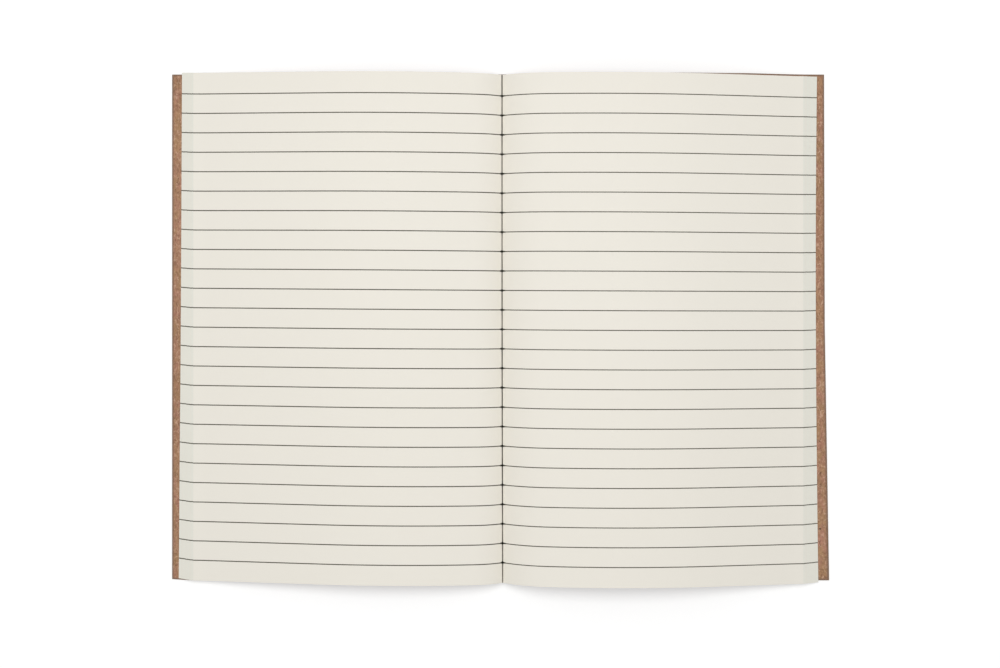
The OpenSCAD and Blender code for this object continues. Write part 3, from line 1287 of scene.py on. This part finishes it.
@dataclass
class CardHalf:
    """One half of the cover card, from the end of its fold to its fore-edge, in millimetres.

    The fore-edge stands further out by the bow in its middle and by the flare at its tail. The trim
    is cut off the tail's outer corner, and the dip off the head between the fold and the fore-edge.
    The rim says how far from its edges the mesh is cut.
    """

    side: Side
    fold: float
    width: float
    spread: Spread
    bow: float = 0.0
    flare: float = 0.0
    trim: float = 0.0
    dip: float = 0.0
    height: float = 209.2
    middle: float = 0.5
    rim: tuple[float, ...] = (0.9, 0.45, 0.0)
    row_pitch: float = 7.0
    bend: float = 4.0
    dip_place: float = 0.4
    dip_reach: float = 0.36
    sharp_angle: float = 40.0

    def rows(self) -> list[float]:
        """Lists the rows of the mesh along the fold, which lie closer together by head and tail.

        Returns:
            Their places, from the tail to the head.
        """
        half = self.height / 2
        inner = half - self.rim[0]
        count = 2 * round(inner / self.row_pitch)
        middle = [-inner + 2 * inner * step / count for step in range(1, count)]
        tail = [-half + inset for inset in reversed(self.rim)]
        return tail + middle + [-place for place in reversed(tail)]

    def place(self, point: Point, along: float) -> Vector:
        """Puts a point of the section in its place, with the fore-edge's flare and the uneven cut.

        Args:
            point: the point in the section.
            along: its place along the fold.

        Returns:
            The point in the notebook's frame, in metres.
        """
        landing = self.spread.toe[0]
        across, up = point
        towards_head = along / (self.height / 2)
        corner = max(0.0, across - landing) / (self.width - landing)
        off_dip = (across / self.width - self.dip_place) / self.dip_reach
        cut = self.trim * corner * max(0.0, -towards_head)
        cut -= self.dip * max(0.0, 1 - off_dip**2) * max(0.0, towards_head)
        if across > landing:
            end = 0.0 if along > 0 else self.flare
            fore_edge = self.width + self.bow + (end - self.bow) * abs(towards_head)
            across = landing + corner * (fore_edge - landing)
        return Vector((self.fold + self.side.value * across, self.middle + along + cut, up)) * MM

    def build(self, card: Material) -> bpy.types.Object:
        """Makes this half of the card, from the end of its fold to its fore-edge.

        Args:
            card: the card's material.

        Returns:
            The piece.
        """
        body = self.side.name.lower() + "_cover"
        pairs = self.spread.card_run(self.width, list(self.rim))
        run = distances([face for face, _ in pairs])
        rows = self.rows()
        shape = bmesh.new()
        flat = shape.loops.layers.uv.new("flat")
        inset = shape.verts.layers.float.new("inset")
        grid = {}
        for j, along in enumerate(rows):
            for i, pair in enumerate(pairs):
                for face, point in enumerate(pair):
                    corner = shape.verts.new(self.place(point, along))
                    corner[inset] = min(self.width - point[0], self.height / 2 - abs(along))
                    grid[i, j, face] = corner
        last_i, last_j = len(pairs) - 1, len(rows) - 1
        cells = [
            [(i, j, face), (i + 1, j, face), (i + 1, j + 1, face), (i, j + 1, face)]
            for face in (0, 1)
            for i in range(last_i)
            for j in range(last_j)
        ]
        for i in range(last_i):
            cells += [[(i, j, 0), (i + 1, j, 0), (i + 1, j, 1), (i, j, 1)] for j in (0, last_j)]
        for j in range(last_j):
            cells += [[(i, j, 0), (i, j + 1, 0), (i, j + 1, 1), (i, j, 1)] for i in (0, last_i)]
        for keys in cells:
            made = shape.faces.new([grid[key] for key in keys])
            made.smooth = True
            for loop, (i, j, _) in zip(made.loops, keys):
                loop[flat].uv = run[i] * MM * self.side.value, rows[j] * MM
        bmesh.ops.recalc_face_normals(shape, faces=shape.faces)
        mesh = bpy.data.meshes.new(body + "_card")
        shape.to_mesh(mesh)
        shape.free()
        mesh.set_sharp_from_angle(angle=math.radians(self.sharp_angle))
        mesh.materials.append(card)
        piece = add_object(body + "_card", mesh)
        ends = [self.place((pairs[0][1][0] + out, pairs[0][1][1]), 0.0) for out in (0.0, self.bend)]
        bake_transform(piece)
        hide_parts(body)
        return piece


@dataclass(frozen=True)
class Studio:
    """The floor, the light and the camera, in metres."""

    focal_pixels: float = 1693.0
    picture_width: float = 1000.0
    sensor: float = 36.0
    camera_height: float = 0.7007
    camera_place: Point = (-0.00026, 0.01598)
    foot_pixels_above_middle: float = 44.0
    nearest: float = 0.05
    floor_size: float = 6.0
    floor_gap: float = 0.00005
    ambient: float = 0.48
    lamp_place: Triple = (-0.03, 0.13, 0.75)
    lamp_size: float = 0.45
    lamp_power: float = 3.14
    floor_shade: Shade = (0.82, 0.82, 0.82)
    floor_roughness: float = 0.95
    floor_lift: float = 0.28
    far_lift: float = 0.66
    lift_range: Range = (0.15, 1.2)

    def seen_by_eye(self, graph: Graph) -> Socket:
        """Tells the rays that show a background from those that bring light.

        Args:
            graph: the material's or the world's graph.

        Returns:
            1 for camera, glossy and transmission rays, 0 for others.
        """
        rays = graph.node("ShaderNodeLightPath").outputs
        either = graph.math("MAXIMUM", rays["Is Camera Ray"], rays["Is Glossy Ray"])
        return graph.math("MAXIMUM", either, rays["Is Transmission Ray"])

    def lay_floor(self) -> None:
        """Lays the plain pale floor under the notebook, which turns quite white away from it."""
        half = self.floor_size / 2
        mesh = bpy.data.meshes.new("floor")
        corners = [(x * half, y * half, -self.floor_gap) for x, y in ((-1, -1), (1, -1), (1, 1), (-1, 1))]
        mesh.from_pydata(corners, [], [(0, 1, 2, 3)])
        material, graph, shader = start_material("pale_floor")
        shader.inputs["Base Color"].default_value = (*self.floor_shade, 1.0)
        shader.inputs["Roughness"].default_value = self.floor_roughness
        shader.inputs["Specular IOR Level"].default_value = 0.0
        glow = graph.node("ShaderNodeEmission", (1.0, 1.0, 1.0, 1.0))
        away = graph.vector("LENGTH", graph.node("ShaderNodeTexCoord").outputs["Object"])
        lift = graph.ramp(away, *self.lift_range, self.floor_lift, self.far_lift)
        graph.feed(glow.inputs["Strength"], graph.math("MULTIPLY", self.seen_by_eye(graph), lift))
        both = graph.get("ShaderNodeAddShader", shader.outputs[0], glow.outputs[0])
        graph.feed(graph.tree.nodes["Material Output"].inputs["Surface"], both)
        mesh.materials.append(material)
        floor = add_object("floor", mesh)

    def light(self) -> None:
        """Fills the room with soft light, and hangs one large lamp over the head of the pages."""
        world = bpy.data.worlds.new("studio")
        bpy.context.scene.world = world
        world.use_nodes = True
        graph = Graph(world.node_tree)
        back = graph.tree.nodes["Background"]
        back.inputs["Color"].default_value = (1.0, 1.0, 1.0, 1.0)
        seen = self.seen_by_eye(graph)
        strength = graph.get("ShaderNodeMix", seen, self.ambient, 1.0, data_type="FLOAT")
        graph.feed(back.inputs["Strength"], strength)
        lamp = bpy.data.lights.new("soft_lamp", "AREA")
        lamp.shape = "DISK"
        lamp.size = self.lamp_size
        lamp.energy = self.lamp_power
        hung = add_object("soft_lamp", lamp)
        hung.location = self.lamp_place
        hung.rotation_mode = "QUATERNION"
        hung.rotation_quaternion = Vector(self.lamp_place).to_track_quat("Z", "Y")

    def stand_camera(self) -> None:
        """Stands the camera straight over the notebook, as the photograph's was."""
        camera = bpy.data.cameras.new("camera")
        camera.sensor_width = self.sensor
        camera.lens = self.focal_pixels * self.sensor / self.picture_width
        camera.shift_y = -self.foot_pixels_above_middle / self.picture_width
        camera.clip_start = self.nearest
        stood = add_object("camera", camera)
        stood.location = (*self.camera_place, self.camera_height)
        bpy.context.scene.camera = stood

    def set_up(self) -> None:
        """Sets up the whole studio."""
        bpy.context.scene.view_settings.view_transform = "Standard"
        self.lay_floor()
        self.light()
        self.stand_camera()


def main() -> None:
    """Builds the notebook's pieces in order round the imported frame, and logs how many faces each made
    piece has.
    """
    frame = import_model()
    Studio().set_up()
    textures = Textures(cloud_group(), fibre_group())
    paper = PaperFinish().build(textures)
    ink = InkFinish().build(textures)
    ends = tuple(corner.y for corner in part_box("cover_spine"))
    flat_card = KraftFinish().build(textures, Grain.FLAT, ends)
    fold_card = KraftFinish().build(textures, Grain.OBJECT, ends)
    steel = WireFinish().build(textures)

    front, back = Spread(lift_share=0.0735), Spread(lift_share=0.0915)
    low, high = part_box("head_staple")
    fold = (low.x + high.x) / 2 / MM
    front_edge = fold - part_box("front_page_ruling")[0].x / MM
    back_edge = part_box("back_page_ruling")[1].x / MM - fold
    drawn_in = 0.85
    parts = PageParts(leaf_face_group(), leaf_edge_group())
    front_shape = {"seed": 5, "skew": 0.9, "slide": 0.37, "fan": (1.75, 0.9, 0.4), "line_width": 0.42}
    back_shape = {"seed": 11, "skew": -0.5, "slide": 0.19, "fan": (2.0, 0.93, 1.35)}
    halves = (
        Leaves(Side.FRONT, front_edge, fold, front, parts, **front_shape),
        Leaves(Side.BACK, back_edge - drawn_in, fold, back, parts, **back_shape),
    )
    for half in halves:
        for piece in half.build(paper, ink):
            log.info("%s: %d faces", piece.name, len(piece.data.polygons))

    flare = 2.1
    front_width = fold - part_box("front_cover")[0].x / MM
    back_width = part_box("back_cover")[1].x / MM - fold - flare
    for cover in (
        CardHalf(Side.FRONT, fold, front_width, spread=front, trim=0.5),
        CardHalf(Side.BACK, fold, back_width, spread=back, bow=0.3, flare=flare, dip=0.5),
    ):
        piece = cover.build(flat_card)
        log.info("%s: %d faces", piece.name, len(piece.data.polygons))

    for node, finish in (("cover_spine", fold_card), ("head_staple", steel), ("tail_staple", steel)):
        kept = frame["nodes"][node]
        kept.data.materials.clear()
        kept.data.materials.append(finish)
        log.info("%s keeps its solid", node)


if __name__ == "__main__":
    logging.basicConfig(level=logging.INFO, format="%(message)s")
    main()
